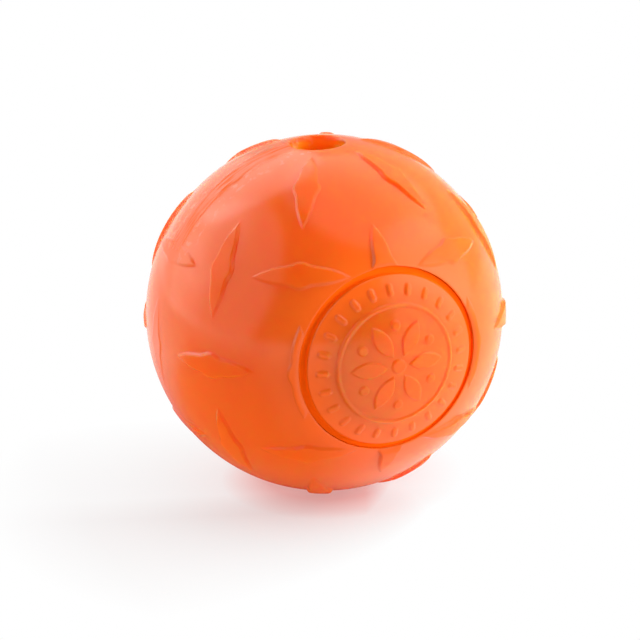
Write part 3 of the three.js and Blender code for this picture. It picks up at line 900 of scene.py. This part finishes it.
to_camera = towards(CAMERA_AZIMUTH, CAMERA_ELEVATION)
camera_data = bpy.data.cameras.new("camera")
camera_data.lens = CAMERA_LENS
camera_data.shift_x, camera_data.shift_y = CAMERA_SHIFT
camera_data.clip_start = 10 * MM
camera = bpy.data.objects.new("camera", camera_data)
camera.matrix_world = (
    Matrix.Translation(ball_middle + CAMERA_DISTANCE * to_camera)
    @ to_camera.to_track_quat("Z", "Y").to_matrix().to_4x4()
    @ Matrix.Rotation(-math.radians(CAMERA_ROLL), 4, "Z")
)
bpy.context.scene.collection.objects.link(camera)
bpy.context.scene.camera = camera


# Floor and backdrop
# A seamless sheet of matt white paper. The camera sees it fade to plain white away from the ball, but for its
# shadow and a painted glow and blush of red light close in front. The ball mirrors it white, but red and
# dim in its own shade, which is painted shade with painted red light.
FLOOR_SIZE = 6.0
PAPER_COLOUR = "#eeeeee"

# Seen by the camera: shares of plain white, and distances from the contact where they start and end
SHADOW_AZIMUTH = -70
SHADOW_EDGE = (-12 * MM, 55 * MM)
FADE_START = 10 * MM
FADE_ENDS = (29 * MM, 76 * MM)
FRONT_EDGE = (9 * MM, 20 * MM)
LIFTS = (0.6, 0.22)
# Painted red light from the ball on the paper close in: a glow in its colour and a blush in its white
GLOW_EDGE = (FADE_START, 38 * MM)
PAINTED_GLOW_COLOURS = ("#e2c2c1", "#cac4c4")
BLUSH_EDGE = (14 * MM, 24 * MM)
BLUSH_RIGHT_EDGE = (7 * MM, 13 * MM)
PAINTED_BLUSH_COLOURS = ("#ffc3bf", "#ffffff")

# Mirrored by the ball: how bright its painted shade is, and where it starts and ends, further in front
# than behind
SHADED_BRIGHTNESS = 0.15
LIT_EDGE = (-10 * MM, 22 * MM)
SHADE_START = 38 * MM
SHADE_TURN = (-12 * MM, 12 * MM)
SHADE_ENDS = (110 * MM, 350 * MM)
CONTACT_EDGE = (6 * MM, 26 * MM)
# Painted shade and red light: the mirrored paper is dim red in the ball's shade, and white where it is lit
MIRRORED_PAINTED_SHADE_COLOURS = ("#c81c10", "#ffffff")

edge = FLOOR_SIZE / 2
floor_mesh = bpy.data.meshes.new("floor")
floor_corners = [(-edge, -edge, 0), (edge, -edge, 0), (edge, edge, 0), (-edge, edge, 0)]
floor_mesh.from_pydata(floor_corners, [], [(0, 1, 2, 3)])
floor = bpy.data.objects.new("floor", floor_mesh)
bpy.context.scene.collection.objects.link(floor)
paper_material = new_material("matt_white_paper")
tree = paper_material.node_tree
place = add_node(tree, "ShaderNodeTexCoord").outputs["Object"]
away = add_node(tree, "ShaderNodeVectorMath", {0: place}, operation="LENGTH").outputs["Value"]
dot_products = [
    add_node(tree, "ShaderNodeVectorMath", {0: place, 1: towards(azimuth, 0)}, operation="DOT_PRODUCT")
    for azimuth in (CAMERA_AZIMUTH + SHADOW_AZIMUTH, CAMERA_AZIMUTH, CAMERA_AZIMUTH + 90)
]
into_shadow, forwards, rightwards = [product.outputs["Value"] for product in dot_products]
fade_end, lift, shade_end = [
    add_node(
        tree, "ShaderNodeMapRange",
        {"Value": value, "From Min": first, "From Max": last, "To Min": start, "To Max": end},
    )
    for value, (first, last), (start, end) in (
        (into_shadow, SHADOW_EDGE, FADE_ENDS), (forwards, FRONT_EDGE, LIFTS),
        (forwards, SHADE_TURN, SHADE_ENDS),
    )
]
past_glow, past_blush, right_of_blush = [
    add_node(tree, "ShaderNodeMapRange", {"Value": value, "From Min": first, "From Max": last})
    for value, (first, last) in ((away, GLOW_EDGE), (away, BLUSH_EDGE), (rightwards, BLUSH_RIGHT_EDGE))
]
lit_side, off_contact = [
    add_node(
        tree, "ShaderNodeMapRange", {"Value": value, "From Min": first, "From Max": last},
        interpolation_type="SMOOTHSTEP",
    )
    for value, (first, last) in ((rightwards, LIT_EDGE), (away, CONTACT_EDGE))
]
fade = add_node(
    tree, "ShaderNodeMapRange", {"Value": away, "From Min": FADE_START, "From Max": fade_end, "To Min": lift},
)
unblushed = add_node(
    tree, "ShaderNodeMath", {0: past_blush, 1: right_of_blush}, operation="ADD", use_clamp=True,
)
# Painted shade in the mirrored paper: dim on the ball's shade side and close to its contact
near_brightness = add_node(tree, "ShaderNodeMapRange", {"Value": lit_side, "To Min": SHADED_BRIGHTNESS})
brightness = add_node(
    tree, "ShaderNodeMapRange",
    {"Value": away, "From Min": SHADE_START, "From Max": shade_end, "To Min": near_brightness},
)
mirrored_brightness = add_node(tree, "ShaderNodeMath", {0: brightness, 1: off_contact}, operation="MULTIPLY")
# Painted red light on the paper near the ball, and painted shade with red light where the ball mirrors it
painted_glow, painted_blush, mirrored_tone_with_painted_shade = [
    add_node(
        tree, "ShaderNodeMix",
        {"Factor": factor, 6: linear_colour(near), 7: linear_colour(far)}, data_type="RGBA",
    )
    for factor, (near, far) in (
        (past_glow, PAINTED_GLOW_COLOURS), (unblushed, PAINTED_BLUSH_COLOURS), (mirrored_brightness, MIRRORED_PAINTED_SHADE_COLOURS),
    )
]
ray = add_node(tree, "ShaderNodeLightPath").outputs
# The camera sees the paper in the painted glow's colours, and its white with the painted blush of red light
paper_colour = add_node(
    tree, "ShaderNodeMix",
    {"Factor": ray["Is Camera Ray"], 6: linear_colour(PAPER_COLOUR), 7: painted_glow.outputs[2]}, data_type="RGBA",
)
paper = add_node(tree, "ShaderNodeBsdfDiffuse", {"Color": paper_colour.outputs[2]})
white = add_node(tree, "ShaderNodeEmission", {"Color": painted_blush.outputs[2], "Strength": 1.0})
white_share = add_node(tree, "ShaderNodeMath", {0: fade, 1: ray["Is Camera Ray"]}, operation="MULTIPLY")
seen_surface = add_node(tree, "ShaderNodeMixShader", {0: white_share, 1: paper, 2: white})
mirror_image = add_node(tree, "ShaderNodeEmission", {"Color": mirrored_tone_with_painted_shade.outputs[2], "Strength": 1.0})
surface = add_node(tree, "ShaderNodeMixShader", {0: ray["Is Glossy Ray"], 1: seen_surface, 2: mirror_image})
add_node(tree, "ShaderNodeOutputMaterial", {"Surface": surface})
floor_mesh.materials.append(paper_material)

# Walls: pale behind the ball and dim on the camera's side, between two cosines from the camera's direction
WALL_EDGE = (-0.35, 0.15)
WALL_BRIGHTNESS = (0.65, 0.15)
world = bpy.data.worlds.new("studio")
world.use_nodes = True
tree = world.node_tree
tree.nodes.clear()
direction = add_node(tree, "ShaderNodeTexCoord").outputs["Generated"]
facing = add_node(tree, "ShaderNodeVectorMath", {0: direction, 1: to_camera}, operation="DOT_PRODUCT")
brightness = add_node(
    tree, "ShaderNodeMapRange",
    {
        "Value": facing.outputs["Value"], "From Min": WALL_EDGE[0], "From Max": WALL_EDGE[1],
        "To Min": WALL_BRIGHTNESS[0], "To Max": WALL_BRIGHTNESS[1],
    },
    interpolation_type="SMOOTHSTEP",
)
seen = add_node(tree, "ShaderNodeLightPath").outputs["Is Camera Ray"]
walls = add_node(tree, "ShaderNodeBackground", {"Strength": brightness})
white = add_node(tree, "ShaderNodeBackground", {"Color": linear_colour("#ffffff"), "Strength": 1.0})
backdrop = add_node(tree, "ShaderNodeMixShader", {0: seen, 1: walls, 2: white})
add_node(tree, "ShaderNodeOutputWorld", {"Surface": backdrop})
bpy.context.scene.world = world


# Lamps
# Round softboxes about the ball. It mirrors the broad ones left, right and overhead and the smaller ones low
# and behind at the left. It doesn't mirror the two keys at the right and the two fills.
LAMP_DISTANCE = 0.8

# Azimuth from the camera's, elevation and half the angle filled, in degrees, radiance, and if it is mirrored
LAMPS = {
    "left_softbox": (-82, 25, 42, 0.89, True),
    "left_panel": (-99, 32, 22, 0.6, True),
    "low_left_softbox": (-105, 6, 22, 0.45, True),
    "low_rear_softbox": (-145, 10, 22, 0.5, True),
    "rear_softbox": (-146, 44, 24, 1.6, True),
    "overhead_softbox": (120, 65, 38, 0.78, True),
    "right_softbox": (78, 18, 34, 0.92, True),
    "key": (70, 15, 20, 5.49, False),
    "side_key": (100, 15, 20, 4.89, False),
    "fill": (20, 15, 30, 0.25, False),
    "left_fill": (-60, 15, 25, 0.35, False),
}
for name, (azimuth, elevation, spread, radiance, mirrored) in LAMPS.items():
    radius = LAMP_DISTANCE * math.tan(math.radians(spread))
    lamp = bpy.data.lights.new(name, "AREA")
    lamp.shape = "DISK"
    lamp.size = 2 * radius
    lamp.energy = radiance * math.pi ** 2 * radius ** 2
    holder = bpy.data.objects.new(name, lamp)
    direction = towards(CAMERA_AZIMUTH + azimuth, elevation)
    holder.location = ball_middle + LAMP_DISTANCE * direction
    holder.rotation_euler = direction.to_track_quat("Z", "Y").to_euler()
    holder.visible_camera = False
    holder.visible_glossy = mirrored
    bpy.context.scene.collection.objects.link(holder)
bpy.context.scene.view_settings.view_transform = "Standard"
